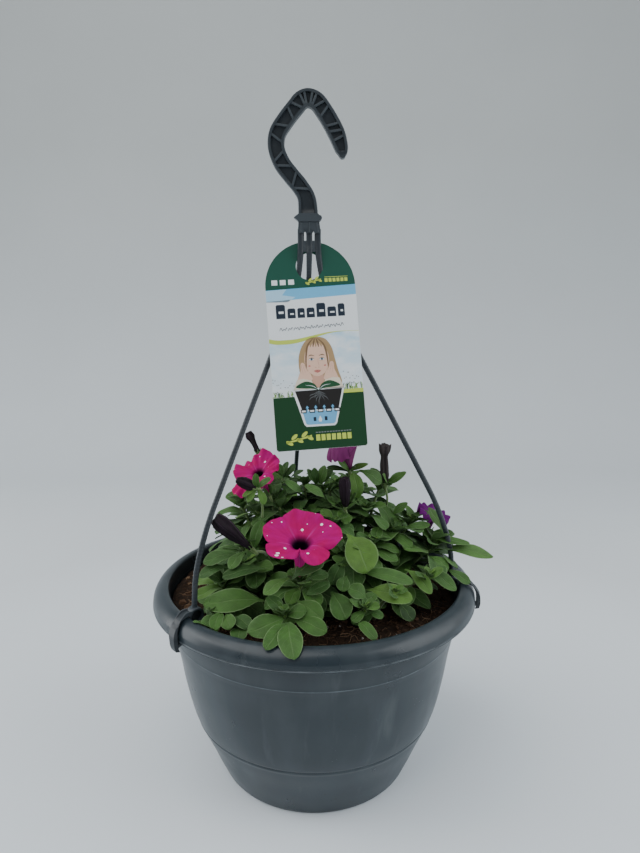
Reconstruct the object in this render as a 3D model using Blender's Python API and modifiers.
"""Petunia hanging basket.

A self-watering plastic pot, its false floor and soil, a moulded hanger of a hook,
three strands and three rim clips, a plastic plant tag, and a petunia of leafy shoots,
flowers and rolled buds.

Metres, +Z up. The origin is the centre of the pot's flat base, on the surface it stands
on. The tag faces -Y and +X is to its reader's right.
"""

import math
import random

import bmesh
import bpy
from mathutils import Matrix, Vector
from mathutils.bvhtree import BVHTree

# ---- driving dimensions ----
GAP = 0.0004                    # clearance that touching pieces keep
TURN_STEPS = 36                 # sides of the turned pieces

# Pot: outer wall as (radius, height), then the rolled rim.
POT_WALL = ((0.0840, 0.0), (0.0910, 0.016), (0.0976, 0.032), (0.1046, 0.048),
            (0.1105, 0.064), (0.1158, 0.088), (0.1197, 0.112), (0.1239, 0.1326),
            (0.1267, 0.147), (0.1280, 0.160))
POT_THICKNESS = 0.0019
POT_FLOOR = 0.0025
RIM_OUTER_RADIUS = 0.1404
RIM_TOP = 0.1716
RIM_ARCH = ((0.1265, 0.1685), (0.1275, 0.1711), (0.1300, RIM_TOP), (0.1335, 0.1708),
            (0.1372, 0.1680), (0.1396, 0.1640), (RIM_OUTER_RADIUS, 0.1604))
LIP_BOTTOM = 0.1574

# Reservoir insert: a perforated floor on three wick feet.
INSERT_RADIUS = 0.1040
INSERT_TOP = 0.0560
INSERT_THICKNESS = 0.0015
WICK_CIRCLE = 0.062
WICK_TOP_RADIUS = 0.016
WICK_FOOT_RADIUS = 0.010
DRAIN_CIRCLE = 0.086
DRAIN_RADIUS = 0.004

# Soil: filled to about 2 cm below the rim, slightly domed.
SOIL_EDGE = 0.150
SOIL_TOP = 0.157

# Hanger: the hook lies in the plane y = 0.
HOOK_SPINE = ((-0.0035, 0.4805), (-0.0046, 0.4910), (-0.0095, 0.5003), (-0.0175, 0.5098),
              (-0.0245, 0.5190), (-0.0286, 0.5300), (-0.0275, 0.5410), (-0.0205, 0.5517),
              (-0.0131, 0.5605), (-0.0085, 0.5655), (-0.0028, 0.5673), (0.0036, 0.5648),
              (0.0088, 0.5585), (0.0141, 0.5505),
              (0.0198, 0.5400), (0.0235, 0.5290), (0.0241, 0.5242))
HOOK_WIDTH = 0.0133
HOOK_FOOT_WIDTH = 0.0160
HOOK_TIP_WIDTH = 0.0040
HOOK_THICKNESS = 0.0070
HOOK_FLANGE = 0.0017
HOOK_WEB = 0.0024
HOOK_MIN_STEP = 0.0006
POCKETS = 11
POCKETS_START = 0.17
POCKETS_END = 0.97
RIB_SHARE = 0.30
COLLAR = ((-0.0120, 0.4680), (0.0064, 0.4680), (0.0049, 0.4765), (0.0067, 0.4782),
          (0.0073, 0.4806), (0.0062, 0.4826), (0.0040, 0.4840), (-0.0118, 0.4845),
          (-0.0150, 0.4818), (-0.0128, 0.4782), (-0.0114, 0.4765))
COLLAR_THICKNESS = 0.0082

STRAND_RADIUS = 0.0022
STRAND_TOP = 0.4680
STRAND_HEADS = {"left": -0.0097, "right": 0.0041, "back": -0.0028}
# Each strand as (height, share of the way out in X, share of the way out in Y, and how
# far the tag pushes it back).
STRAND_COURSE = ((STRAND_TOP, 0.0, 0.0, 0.0), (0.455, 0.0, 0.0, 0.0),
                 (0.4475, 0.0, 0.0, 0.0002), (0.440, 0.002, 0.0, 0.0026),
                 (0.430, 0.012, 0.0, 0.0040), (0.420, 0.05, 0.01, 0.0042),
                 (0.400, 0.14, 0.05, 0.0034), (0.380, 0.235, 0.12, 0.0020),
                 (0.357, 0.34, 0.20, 0.0008), (0.330, 0.465, 0.33, 0.0),
                 (0.3015, 0.595, 0.49, 0.0), (0.2685, 0.745, 0.68, 0.0),
                 (0.2371, 0.880, 0.86, 0.0), (0.2042, 0.975, 0.97, 0.0),
                 (0.1828, 1.0, 1.0, 0.0))
CLIP_AZIMUTHS = {"left": 221.0, "right": 349.0, "back": 100.0}
CLIP_WIDTH = 0.0060
EYE_RADIUS = 0.1198
EYE_HEIGHT = 0.1728
EYE_OUTER = 0.0065
EYE_BORE = 0.0045
STRAP_OUTSIDE = ((0.1262, 0.1778), (0.1310, 0.1768), (0.1365, 0.1742), (0.1412, 0.1700),
                 (0.1440, 0.1640), (0.1446, 0.1570), (0.1440, 0.1542))
STRAP_INSIDE = ((0.1405, 0.1542), (0.1392, 0.1566), (0.1413, 0.1572), (0.1411, 0.1606),
                (0.1403, 0.1650), (0.1379, 0.1691), (0.1338, 0.1720), (0.1300, 0.1727),
                (0.1262, 0.1724))

# Plant tag: a card with an arched top, hung on the strands through its oval hole.
TAG_WIDTH = 0.075
TAG_HEIGHT = 0.172
TAG_THICKNESS = 0.0006
TAG_APEX = Vector((-0.0046, 0.0062, 0.4590))
TAG_TILT = 12.5
TAG_YAW = 5.0
TAG_SWING = 2.9
TAG_HOLE_SIZE = (0.0270, 0.0225)
TAG_HOLE_DROP = 0.02125
TAG_HOLE_ROUNDNESS = 2.6        # 2 is an ellipse, more is squarer

# Petunia: each shoot as (root x, root y, tip x, tip y, tip z, leaf size, leaf count).
SHOOTS = (
    (-0.022, -0.040, -0.022, -0.095, 0.1768, 0.034, 7),
    (-0.050, -0.034, -0.078, -0.080, 0.1720, 0.026, 6),
    (0.040, -0.038, 0.0386, -0.085, 0.1754, 0.034, 7),
    (-0.056, -0.022, -0.0746, -0.052, 0.1800, 0.034, 6),
    (-0.052, -0.008, -0.0622, -0.028, 0.2067, 0.032, 6),
    (-0.044, 0.006, -0.0640, 0.004, 0.2323, 0.034, 6),
    (-0.020, 0.014, -0.0266, 0.028, 0.2429, 0.030, 6),
    (0.000, 0.018, 0.0075, 0.032, 0.2474, 0.032, 7),
    (0.020, -0.002, 0.0273, -0.002, 0.2344, 0.030, 6),
    (0.040, 0.010, 0.0600, 0.026, 0.2347, 0.034, 6),
    (0.052, -0.004, 0.0867, 0.002, 0.2157, 0.036, 6),
    (0.062, -0.016, 0.1050, -0.012, 0.1979, 0.040, 6),
    (0.056, -0.030, 0.0944, -0.050, 0.1857, 0.036, 6),
    (-0.006, -0.030, -0.0111, -0.072, 0.1892, 0.032, 6),
    (0.016, -0.022, 0.0296, -0.040, 0.2029, 0.036, 6),
    (0.048, -0.050, 0.0633, -0.072, 0.1821, 0.034, 6),
    (-0.034, 0.022, -0.0483, 0.042, 0.2500, 0.032, 6),
    (0.034, 0.030, 0.0430, 0.058, 0.2250, 0.034, 6),
    (-0.012, 0.034, -0.0180, 0.074, 0.2120, 0.034, 6),
    (0.016, 0.044, 0.0260, 0.090, 0.1900, 0.034, 6),
    (0.052, 0.024, 0.0800, 0.044, 0.2000, 0.034, 6),
    (-0.050, 0.030, -0.0740, 0.054, 0.1950, 0.034, 6),
)
STEM_RADIUS = 0.0014
STEM_STATIONS = 4
LEAF_THICKNESS = 0.0008
LEAF_CLEARANCE = 0.0007
GOLDEN_ANGLE = math.radians(137.5)
LEAF_DROOP = 0.45
LEAF_HALF_WIDTH = 0.26
LEAF_TRIES = 16

# Open flowers: throat, facing direction, limb radius, funnel length, stalk foot.
FLOWERS = {
    "flower_front": ((-0.0105, -0.0790, 0.2270), (0.04, -0.31, 0.95), 0.0300, 0.034,
                     (-0.016, -0.040, 0.1900)),
    "flower_left": ((-0.0540, -0.0090, 0.2655), (-0.40, -0.42, 0.81), 0.0200, 0.029,
                    (-0.036, -0.010, 0.2250)),
    "flower_right": ((0.1060, 0.0090, 0.2235), (0.45, 0.05, 0.85), 0.0175, 0.026,
                     (0.070, 0.012, 0.2000)),
    "flower_back": ((0.0240, 0.0080, 0.2860), (0.03, 0.06, 0.99), 0.0215, 0.020,
                    (0.023, 0.010, 0.2380)),
}
# Rolled buds and a wilted flower: foot, tip, greatest radius.
BUDS = {
    "bud_left": ((-0.0470, -0.0560, 0.2130), (-0.0770, -0.0600, 0.2420), 0.0056),
    "bud_top_left": ((-0.0450, 0.0080, 0.2800), (-0.0580, 0.0080, 0.3010), 0.0036),
    "bud_small": ((-0.0540, -0.0260, 0.2420), (-0.0640, -0.0260, 0.2540), 0.0030),
    "bud_middle": ((0.0271, -0.0150, 0.2440), (0.0268, -0.0150, 0.2640), 0.0042),
    "wilted_flower": ((0.0647, 0.0200, 0.2560), (0.0631, 0.0200, 0.2880), 0.0050),
}

SLATE = (0.060, 0.078, 0.090)
GREEN = (0.085, 0.170, 0.045)
MAGENTA = (0.600, 0.010, 0.260)
PLUM = (0.060, 0.010, 0.045)


# ---- helpers ----
def collection(name):
    made = bpy.data.collections.new(name)
    bpy.context.scene.collection.children.link(made)
    return made


def material(name, color, roughness, metallic=0.0):
    made = bpy.data.materials.new(name)
    made.use_nodes = True
    shader = made.node_tree.nodes["Principled BSDF"]
    shader.inputs["Base Color"].default_value = (*color, 1.0)
    shader.inputs["Roughness"].default_value = roughness
    shader.inputs["Metallic"].default_value = metallic
    return made


def add_object(name, data, mat=None, target=None):
    made = bpy.data.objects.new(name, data)
    (target or BASKET).objects.link(made)
    if mat:
        data.materials.append(mat)
    return made


def add_mesh(name, bm, mat=None, target=None):
    mesh = bpy.data.meshes.new(name)
    bm.to_mesh(mesh)
    bm.free()
    mesh.shade_smooth()
    mesh.set_sharp_from_angle(angle=math.radians(40))
    return add_object(name, mesh, mat, target)


def as_cutter(cutter):
    cutter.hide_render = True
    cutter.display_type = "WIRE"
    return cutter


def boolean(target, other, operation, self_joining=False):
    mod = target.modifiers.new(operation.lower(), "BOOLEAN")
    mod.object = other
    mod.operation = operation
    mod.solver = "EXACT"
    mod.use_self = self_joining
    return mod


def turned(name, profile, mat):
    """Turn a (radius, height) profile about Z: it runs over the top and down the outside."""
    bm = bmesh.new()
    verts = [bm.verts.new((r, 0.0, z)) for r, z in profile]
    for a, b in zip(verts, verts[1:]):
        bm.edges.new((a, b))
    made = add_mesh(name, bm, mat)
    screw = made.modifiers.new("turn", "SCREW")
    screw.steps = TURN_STEPS
    screw.render_steps = TURN_STEPS
    screw.use_merge_vertices = True
    screw.merge_threshold = 0.00001
    return made


def flat_outline(name, splines, thickness, mat=None, target=None):
    """A flat plate: closed outlines in local XY, the later ones holes, thickness along Z."""
    curve = bpy.data.curves.new(name, "CURVE")
    curve.dimensions = "2D"
    curve.fill_mode = "BOTH"
    curve.extrude = thickness / 2
    for points in splines:
        spline = curve.splines.new("POLY")
        spline.points.add(len(points) - 1)
        for place, (x, y) in zip(spline.points, points):
            place.co = (x, y, 0.0, 1.0)
        spline.use_cyclic_u = True
    return add_object(name, curve, mat, target)


def to_mesh(obj):
    """Replace a curve object by a closed mesh of the same name, place and material."""
    bpy.context.view_layer.update()
    mesh = bpy.data.meshes.new_from_object(obj.evaluated_get(bpy.context.evaluated_depsgraph_get()))
    bm = bmesh.new()
    bm.from_mesh(mesh)
    bmesh.ops.remove_doubles(bm, verts=bm.verts, dist=0.000001)
    bmesh.ops.recalc_face_normals(bm, faces=bm.faces)
    bm.to_mesh(mesh)
    bm.free()
    name, place, home = obj.name, obj.matrix_world.copy(), obj.users_collection[0]
    bpy.data.objects.remove(obj)
    made = bpy.data.objects.new(name, mesh)
    home.objects.link(made)
    made.matrix_world = place
    return made


def smooth_path(points, steps):
    """Catmull-Rom curve through the points, with the given steps between two of them."""
    points = [Vector(p) for p in points]
    ends = [2 * points[0] - points[1]] + points + [2 * points[-1] - points[-2]]
    path = []
    for i in range(1, len(ends) - 2):
        a, b, c, d = ends[i - 1:i + 3]
        for k in range(steps):
            t = k / steps
            path.append(0.5 * (2 * b + (c - a) * t + (2 * a - 5 * b + 4 * c - d) * t ** 2
                               + (3 * b - a - 3 * c + d) * t ** 3))
    path.append(points[-1])
    return path


def arc(center, radius, start, end, steps):
    for k in range(steps + 1):
        a = math.radians(start + (end - start) * k / steps)
        yield center[0] + radius[0] * math.cos(a), center[1] + radius[1] * math.sin(a)


def tube(name, path, radius, mat=None, target=None):
    curve = bpy.data.curves.new(name, "CURVE")
    curve.dimensions = "3D"
    curve.bevel_depth = radius
    curve.bevel_resolution = 2
    curve.use_fill_caps = True
    spline = curve.splines.new("POLY")
    spline.points.add(len(path) - 1)
    for place, point in zip(spline.points, path):
        place.co = (*point, 1.0)
    return add_object(name, curve, mat, target)


# ---- pot, insert and soil ----
def wall_radius(height):
    for (r0, z0), (r1, z1) in zip(POT_WALL, POT_WALL[1:]):
        if height <= z1:
            return r0 + (r1 - r0) * (height - z0) / (z1 - z0)
    return POT_WALL[-1][0]


def make_pot():
    inner = [(r - POT_THICKNESS, z) for r, z in POT_WALL[1:]]
    floor = [(0.0, POT_FLOOR), (wall_radius(POT_FLOOR) - POT_THICKNESS, POT_FLOOR)]
    lip = [(RIM_OUTER_RADIUS, LIP_BOTTOM), (RIM_OUTER_RADIUS - 0.0016, LIP_BOTTOM),
           (0.1386, 0.1605), (0.1356, 0.1665), (0.1310, 0.1692), (0.1288, 0.1680)]
    outer = list(reversed(POT_WALL)) + [(0.0, 0.0)]
    return turned("pot", floor + inner + list(RIM_ARCH) + lip + outer, PLASTIC)


def make_insert():
    bm = bmesh.new()
    middle = INSERT_TOP - INSERT_THICKNESS / 2
    bmesh.ops.create_cone(bm, cap_ends=True, segments=TURN_STEPS, radius1=INSERT_RADIUS,
                          radius2=INSERT_RADIUS, depth=INSERT_THICKNESS,
                          matrix=Matrix.Translation((0, 0, middle)))
    insert = add_mesh("reservoir_insert", bm, INSERT_PLASTIC)
    foot = POT_FLOOR + GAP
    top = INSERT_TOP - INSERT_THICKNESS / 2
    for k in range(3):
        a = math.radians(120 * k + 30)
        bm = bmesh.new()
        place = (WICK_CIRCLE * math.cos(a), WICK_CIRCLE * math.sin(a), (foot + top) / 2)
        bmesh.ops.create_cone(bm, cap_ends=True, segments=12, radius1=WICK_FOOT_RADIUS,
                              radius2=WICK_TOP_RADIUS, depth=top - foot,
                              matrix=Matrix.Translation(place))
        boolean(insert, as_cutter(add_mesh(f"wick_{k}", bm, None, CUTTERS)), "UNION")
    for k in range(9):
        a = math.radians(40 * k + 10)
        bm = bmesh.new()
        place = (DRAIN_CIRCLE * math.cos(a), DRAIN_CIRCLE * math.sin(a), middle)
        bmesh.ops.create_cone(bm, cap_ends=True, segments=8, radius1=DRAIN_RADIUS,
                              radius2=DRAIN_RADIUS, depth=0.006,
                              matrix=Matrix.Translation(place))
        boolean(insert, as_cutter(add_mesh(f"drain_{k}", bm, None, CUTTERS)), "DIFFERENCE")
    return insert


def make_soil():
    bottom = INSERT_TOP + GAP
    fill = POT_THICKNESS + GAP
    side = [(r - fill, z) for r, z in POT_WALL if bottom < z < SOIL_EDGE]
    profile = [(0.0, SOIL_TOP), (0.050, SOIL_TOP - 0.0010), (0.095, SOIL_TOP - 0.0035),
               (wall_radius(SOIL_EDGE) - fill, SOIL_EDGE)]
    profile += list(reversed(side)) + [(wall_radius(bottom) - fill, bottom), (0.0, bottom)]
    return turned("soil", profile, SOIL)


# ---- hanger ----
def hook_frame():
    """Points along the hook's middle with their sideways directions and half widths."""
    path = smooth_path([(x, z, 0.0) for x, z in HOOK_SPINE], 4)
    frame = []
    for i, point in enumerate(path):
        ahead = (path[min(i + 1, len(path) - 1)] - path[max(i - 1, 0)]).normalized()
        side = Vector((-ahead.y, ahead.x, 0.0))
        share = i / (len(path) - 1)
        width = HOOK_WIDTH
        if share < 0.12:
            width += (HOOK_FOOT_WIDTH - HOOK_WIDTH) * (1 - share / 0.12)
        if share > 0.86:
            width += (HOOK_TIP_WIDTH - HOOK_WIDTH) * ((share - 0.86) / 0.14) ** 1.6
        frame.append((point, side, width / 2))
    return frame


def station(frame, share):
    """The hook frame's point, sideways direction and half width at a share of its length."""
    reach = share * (len(frame) - 1)
    i = min(int(reach), len(frame) - 2)
    (p, s, w), (q, t, v) = frame[i:i + 2]
    return p.lerp(q, reach - i), s.lerp(t, reach - i).normalized(), w + (v - w) * (reach - i)


def plate_in_hook_plane(name, points, thickness, depth=0.0, mat=None, target=None):
    """A plate whose local XY is the hook's X and Z, its middle at y = depth."""
    plate = flat_outline(name, [points], thickness, mat, target)
    plate.matrix_world = Matrix.Translation((0, depth, 0)) @ Matrix.Rotation(math.pi / 2, 4, "X")
    return to_mesh(plate)


def hook_side(frame, sign):
    """One side of the hook's outline, without the points that a tight bend folds back."""
    points = []
    for place, side, half in frame:
        point = place + side * half * sign
        ahead = Vector((side.y, -side.x, 0.0))
        if not points or (point - points[-1]).dot(ahead) > HOOK_MIN_STEP:
            points.append(point)
    return [(p.x, p.y) for p in points]


def make_hook():
    frame = hook_frame()
    left = hook_side(frame, 1)
    right = hook_side(frame, -1)
    hook = plate_in_hook_plane("hanger_hook", left + right[::-1], HOOK_THICKNESS, mat=PLASTIC)
    collar = plate_in_hook_plane("collar", COLLAR, COLLAR_THICKNESS, target=CUTTERS)
    boolean(hook, as_cutter(collar), "UNION")
    pocket_depth = (HOOK_THICKNESS - HOOK_WEB) / 2
    pitch = (POCKETS_END - POCKETS_START) / (POCKETS + 1)
    for k in range(POCKETS):
        base_side = 1 if k % 2 else -1
        stations = ((k + RIB_SHARE, base_side), (k + 1, -base_side), (k + 2 - RIB_SHARE, base_side))
        corners = []
        for place, side in stations:
            p, s, w = station(frame, POCKETS_START + pitch * place)
            corners.append((p + s * side * (w - HOOK_FLANGE))[:2])
        for face in (-1, 1):
            depth = face * (HOOK_THICKNESS / 2 + 0.001 - (pocket_depth + 0.001) / 2)
            pocket = plate_in_hook_plane(f"pocket_{k}_{face}", corners, pocket_depth + 0.001,
                                         depth, target=CUTTERS)
            boolean(hook, as_cutter(pocket), "DIFFERENCE")
    return hook


def eye_place(side):
    a = math.radians(CLIP_AZIMUTHS[side])
    return Vector((EYE_RADIUS * math.cos(a), EYE_RADIUS * math.sin(a), EYE_HEIGHT))


def make_strand(side):
    head = Vector((STRAND_HEADS[side], 0.0, 0.0))
    foot = eye_place(side)
    foot.z = 0.0
    route = []
    for height, share_x, share_y, pushed in STRAND_COURSE:
        x = head.x + (foot.x - head.x) * share_x
        route.append((x, foot.y * share_y + pushed, height))
    route[0] = (head.x, 0.0, STRAND_TOP - GAP)
    route[-1] = (foot.x, foot.y, EYE_HEIGHT + EYE_OUTER + GAP)
    tube(f"hanger_strand_{side}", smooth_path(route, 1), STRAND_RADIUS, PLASTIC)


def make_clip(side):
    ring = list(arc((EYE_RADIUS, EYE_HEIGHT), (EYE_OUTER, EYE_OUTER), 318, 40, 12))
    outline = [(r, z) for r, z in STRAP_OUTSIDE + STRAP_INSIDE] + ring
    bore = list(arc((EYE_RADIUS, EYE_HEIGHT), (EYE_BORE, EYE_BORE), 0, 330, 11))
    clip = flat_outline(f"rim_clip_{side}", [outline, bore], CLIP_WIDTH, PLASTIC)
    turn = Matrix.Rotation(math.radians(CLIP_AZIMUTHS[side]), 4, "Z")
    clip.matrix_world = turn @ Matrix.Rotation(math.pi / 2, 4, "X")


# ---- plant tag ----
def make_tag():
    half = TAG_WIDTH / 2
    corner = 0.002
    outline = list(arc((0, -half), (half, half), 0, 180, 20))
    outline += list(arc((-half + corner, -TAG_HEIGHT + corner), (corner, corner), 180, 270, 3))
    outline += list(arc((half - corner, -TAG_HEIGHT + corner), (corner, corner), 270, 360, 3))
    hole = []
    for k in range(24):
        a = 2 * math.pi * k / 24
        c, s = (math.copysign(abs(v) ** (2 / TAG_HOLE_ROUNDNESS), v) for v in (math.cos(a), math.sin(a)))
        hole.append((c * TAG_HOLE_SIZE[0] / 2, s * TAG_HOLE_SIZE[1] / 2 - TAG_HOLE_DROP))
    tag = flat_outline("plant_tag", [outline, hole], TAG_THICKNESS, CARD)
    tag.matrix_world = (Matrix.Translation(TAG_APEX)
                        @ Matrix.Rotation(math.radians(TAG_YAW), 4, "Z")
                        @ Matrix.Rotation(math.radians(90 - TAG_TILT), 4, "X")
                        @ Matrix.Rotation(math.radians(TAG_SWING), 4, "Z"))


# ---- petunia ----
def skin(bm, rings):
    """Close a row of equal rings, each anticlockwise seen from the last, into one solid."""
    count = len(rings[0])
    for lower, upper in zip(rings, rings[1:]):
        for k in range(count):
            bm.faces.new((lower[k - 1], lower[k], upper[k], upper[k - 1]))
    bm.faces.new(rings[0][::-1])
    bm.faces.new(rings[-1])


def tube_mesh(bm, path, radii, sides=6):
    """A tube of changing radius along the path."""
    course = path[-1] - path[0]
    across = Vector((0.0, 1.0, 0.0)) if abs(course.z) > course.length * 0.7 else Vector((0, 0, 1))
    rings = []
    for i, point in enumerate(path):
        ahead = (path[min(i + 1, len(path) - 1)] - path[max(i - 1, 0)]).normalized()
        u = ahead.cross(across).normalized()
        v = ahead.cross(u)
        turns = (2 * math.pi * k / sides for k in range(sides))
        rings.append([bm.verts.new(point + radii[i] * (u * math.cos(a) + v * math.sin(a)))
                      for a in turns])
    skin(bm, rings)


def leaf_mesh(bm, base, azimuth, pitch, length, growth=0.0, outer_only=False):
    """A thin spatulate leaf with a lens section at three stations, thicker by growth."""
    out = Vector((math.cos(azimuth), math.sin(azimuth), 0.0))
    side = Vector((-out.y, out.x, 0.0))
    up = Vector((0.0, 0.0, 1.0))

    def heading(angle):
        return out * math.cos(angle) + up * math.sin(angle)

    middle = base + heading(pitch) * length * 0.58
    tip = middle + heading(pitch - LEAF_DROOP) * length * 0.42
    lift = heading(pitch + math.pi / 2) * (LEAF_THICKNESS + growth) / 2
    stations = [(base - heading(pitch) * 0.0010, 0.0011), (middle, length * LEAF_HALF_WIDTH),
                (tip, 0.0030)]
    if outer_only:
        stations[0] = (base + heading(pitch) * 0.0040, 0.0011)
    rings = []
    for place, width in stations:
        reach = side * (width + growth / 2)
        rings.append([bm.verts.new(p) for p in (place + reach, place + lift, place - reach,
                                                place - lift)])
    skin(bm, rings)


def stem_path(root, tip, bend):
    """Stations of a shoot that rises from its root and leans over towards its tip."""
    knee = Vector((root.x + (tip.x - root.x) * 0.45, root.y + (tip.y - root.y) * 0.45,
                   root.z + (tip.z - root.z) * 0.75 + 0.004)) + bend
    path = []
    for k in range(STEM_STATIONS):
        t = k / (STEM_STATIONS - 1)
        path.append(root * (1 - t) ** 2 + knee * 2 * t * (1 - t) + tip * t ** 2)
    return path


def point_on(path, share):
    """The point at the given share of the way along the path."""
    reach = share * (len(path) - 1)
    i = min(int(reach), len(path) - 2)
    return path[i].lerp(path[i + 1], reach - i)


def tree_of(bm):
    return BVHTree.FromBMesh(bm)


def world_tree(obj, depsgraph):
    shape = obj.evaluated_get(depsgraph)
    mesh = shape.to_mesh()
    points = [obj.matrix_world @ v.co for v in mesh.vertices]
    faces = [tuple(p.vertices) for p in mesh.polygons]
    shape.to_mesh_clear()
    return BVHTree.FromPolygons(points, faces)


def clear_of(build, trees):
    """True when the shape that build() makes touches none of the trees."""
    bm = bmesh.new()
    build(bm)
    bm.normal_update()
    tree = tree_of(bm)
    bm.free()
    return not any(tree.overlap(other) for other in trees)


def make_shoot(number, spec, obstacles):
    root_x, root_y, tip_x, tip_y, tip_z, size, count = spec
    rng = random.Random(100 + number)
    root = Vector((root_x, root_y, SOIL_TOP + GAP))
    tip = Vector((tip_x, tip_y, tip_z))
    for attempt in range(60):
        reach = 0.0005 * attempt
        bend = Vector([rng.uniform(-reach, reach) for _ in range(3)])
        path = stem_path(root, tip, bend)
        radii = [STEM_RADIUS * (1.0 - 0.06 * i) for i in range(STEM_STATIONS)]
        grown = [r + LEAF_CLEARANCE for r in radii]
        if clear_of(lambda bm: tube_mesh(bm, path, grown, 5), obstacles):
            break
    stem = bmesh.new()
    tube_mesh(stem, path, radii, 5)
    leaves = []
    own = []
    start = rng.uniform(0, 2 * math.pi)
    for k in range(count):
        share = k / (count - 1)
        base = point_on(path, 0.50 + 0.49 * share)
        length = size * (1.10 - 0.60 * share)
        for attempt in range(LEAF_TRIES):
            azimuth = start + GOLDEN_ANGLE * k + rng.uniform(-0.1, 0.1) * attempt
            pitch = 0.10 + 0.85 * share + rng.uniform(-0.05, 0.10) * attempt
            leaf = (base, azimuth, pitch, length * (1 - 0.02 * attempt))
            if (clear_of(lambda bm: leaf_mesh(bm, *leaf, growth=2 * LEAF_CLEARANCE), obstacles)
                    and clear_of(lambda bm: leaf_mesh(bm, *leaf, outer_only=True), own)):
                leaves.append(leaf)
                blade = bmesh.new()
                leaf_mesh(blade, *leaf, outer_only=True)
                own.append(tree_of(blade))
                blade.free()
                break
    name = f"shoot_{number:02d}"
    shoot = add_mesh(name, stem, LEAF)
    blades = bmesh.new()
    for leaf in leaves:
        leaf_mesh(blades, *leaf)
    if leaves:
        cutter = as_cutter(add_mesh(f"{name}_leaves", blades, None, CUTTERS))
        boolean(shoot, cutter, "UNION", self_joining=True)
    return shoot


def turn_to(direction, origin):
    """Place whose local Z is the direction."""
    turn = Vector(direction).to_track_quat("Z", "Y").to_matrix().to_4x4()
    return Matrix.Translation(origin) @ turn


def make_flower(name, throat, facing, limb, funnel, stalk_foot):
    """A five-lobed trumpet whose funnel closes on a sepal cup and a stalk."""
    segments = 15
    rings = ((0.0022, -funnel), (0.0030, -funnel * 0.6), (0.0052, -funnel * 0.2),
             (limb * 0.45, 0.002), (limb * 0.78, 0.004), (limb, 0.001))
    bm = bmesh.new()
    grid = []
    for level, (radius, height) in enumerate(rings):
        row = []
        for k in range(segments):
            a = 2 * math.pi * k / segments
            open_share = max(0, level - 2) / 3
            lobe = 1 + 0.07 * open_share * math.cos(5 * a)
            wave = 0.10 * limb * open_share ** 2 * math.cos(5 * a + 1.0)
            row.append(bm.verts.new((radius * lobe * math.cos(a), radius * lobe * math.sin(a),
                                     height + wave)))
        grid.append(row)
    for lower, upper in zip(grid, grid[1:]):
        for k in range(segments):
            bm.faces.new((lower[k - 1], lower[k], upper[k], upper[k - 1]))
    bm.faces.new(grid[0][::-1])
    flower = add_mesh(name, bm, PETAL)
    flower.matrix_world = turn_to(facing, throat)
    solidify = flower.modifiers.new("petal", "SOLIDIFY")
    solidify.thickness = 0.0008
    solidify.offset = 0.0
    base = Vector(throat) - Vector(facing).normalized() * funnel
    foot = Vector(stalk_foot)
    route = smooth_path([base + (base - Vector(throat)) * -0.12, base,
                         base + (foot - base) * 0.5, foot], 1)
    stalk = bmesh.new()
    tube_mesh(stalk, route, [0.0038, 0.0042, 0.0011, 0.0010])
    cutter = as_cutter(add_mesh(f"{name}_stalk", stalk, None, CUTTERS))
    boolean(flower, cutter, "UNION")
    return flower


def make_bud(name, foot, tip, radius):
    """A rolled bud: a spindle that swells towards its tip, on a short stalk."""
    foot = Vector(foot)
    tip = Vector(tip)
    shares = (-0.45, -0.10, 0.0, 0.12, 0.45, 0.80, 1.0)
    sizes = (0.0010, 0.0011, 0.45 * radius + 0.001, 0.40 * radius, 0.65 * radius, radius,
             0.35 * radius)
    bm = bmesh.new()
    path = [foot + (tip - foot) * s for s in shares]
    tube_mesh(bm, path, sizes, sides=8)
    return add_mesh(name, bm, BUD)


# ---- build ----
for old in list(bpy.data.objects):
    bpy.data.objects.remove(old)

BASKET = collection("petunia_hanging_basket")
CUTTERS = collection("cutters")
PLASTIC = material("slate_plastic", SLATE, 0.42)
INSERT_PLASTIC = material("black_plastic", (0.02, 0.02, 0.022), 0.5)
SOIL = material("peat_soil", (0.035, 0.020, 0.012), 0.95)
CARD = material("printed_card", (0.02, 0.16, 0.11), 0.35)
LEAF = material("petunia_leaf", GREEN, 0.6)
PETAL = material("petunia_petal", MAGENTA, 0.5)
BUD = material("petunia_bud", PLUM, 0.6)

make_pot()
make_insert()
make_soil()
make_hook()
for strand_side in STRAND_HEADS:
    make_strand(strand_side)
    make_clip(strand_side)
make_tag()
for flower_name, flower_spec in FLOWERS.items():
    make_flower(flower_name, *flower_spec)
for bud_name, bud_spec in BUDS.items():
    make_bud(bud_name, *bud_spec)

bpy.context.view_layer.update()
graph = bpy.context.evaluated_depsgraph_get()
placed = [world_tree(obj, graph) for obj in BASKET.objects]
for shoot_number, shoot_spec in enumerate(SHOOTS, 1):
    grown_shoot = make_shoot(shoot_number, shoot_spec, placed)
    bpy.context.view_layer.update()
    graph = bpy.context.evaluated_depsgraph_get()
    placed.append(world_tree(grown_shoot, graph))
